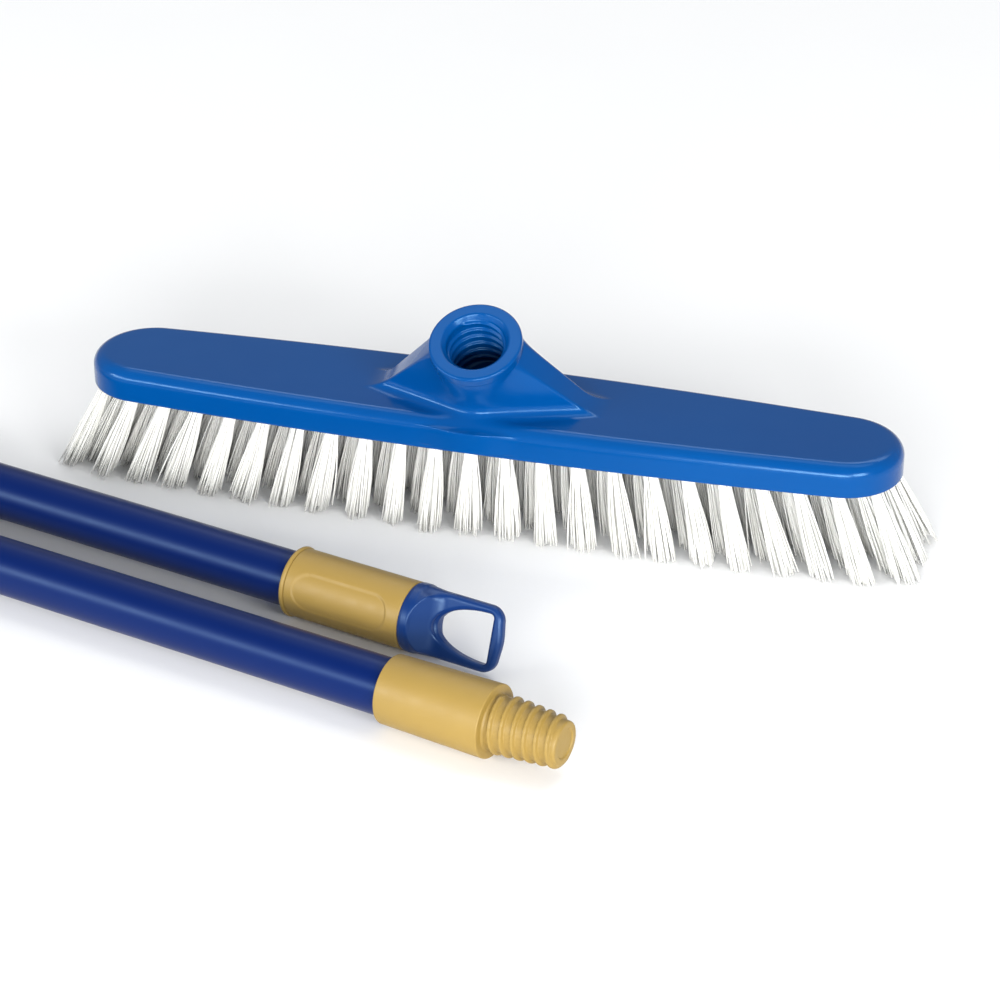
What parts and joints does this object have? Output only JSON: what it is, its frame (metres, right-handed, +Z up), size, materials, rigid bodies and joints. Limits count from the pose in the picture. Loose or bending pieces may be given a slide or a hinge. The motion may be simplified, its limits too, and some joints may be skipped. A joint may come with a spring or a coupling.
{
  "type": "pool wall brush",
  "caption": "Long scrubbing brush head with fanned stiff bristles and a tilted threaded socket, with its two-piece screw-together pole lying beside it.",
  "frame": {"origin": "on the floor, in the middle of the group's box: the head standing on its bristle tips and the two pole sections lying in front of it", "axes": "+X along the brush head's long side, +Z up, and -Y the side that the socket leans to"},
  "size_m": [0.7749, 0.2278, 0.0815],
  "materials": {
    "block_plastic": "gloss",
    "bristle_fibre": "satin",
    "anchor_wire": "satin",
    "tube_steel": "satin",
    "tube_film": "gloss",
    "fitting_plastic": "satin",
    "cap_plastic": "satin"
  },
  "bodies": {
    "brush_head": {"brush_block": "block_plastic", "bristles_front_row": "bristle_fibre", "bristles_front_inner_row": "bristle_fibre", "bristles_middle_row": "bristle_fibre", "bristles_back_inner_row": "bristle_fibre", "bristles_back_row": "bristle_fibre", "anchors_front_row": "anchor_wire", "anchors_front_inner_row": "anchor_wire", "anchors_middle_row": "anchor_wire", "anchors_back_inner_row": "anchor_wire", "anchors_back_row": "anchor_wire"},
    "lower_pole_section": {"lower_tube": "tube_steel", "lower_tube_film": "tube_film", "threaded_tip": "fitting_plastic", "joint_sleeve": "fitting_plastic"},
    "upper_pole_section": {"upper_tube": "tube_steel", "upper_tube_film": "tube_film", "joint_spigot": "fitting_plastic", "grip_collar": "fitting_plastic", "hang_cap": "cap_plastic"}
  },
  "joints": [
    {"name": "lower_section_lift", "type": "slide", "parent": "brush_head", "child": "lower_pole_section", "axis": [0, 0, 1], "range_m": [0, 0.25]},
    {"name": "upper_section_lift", "type": "slide", "parent": "brush_head", "child": "upper_pole_section", "axis": [0, 0, 1], "range_m": [0, 0.25]}
  ]
}
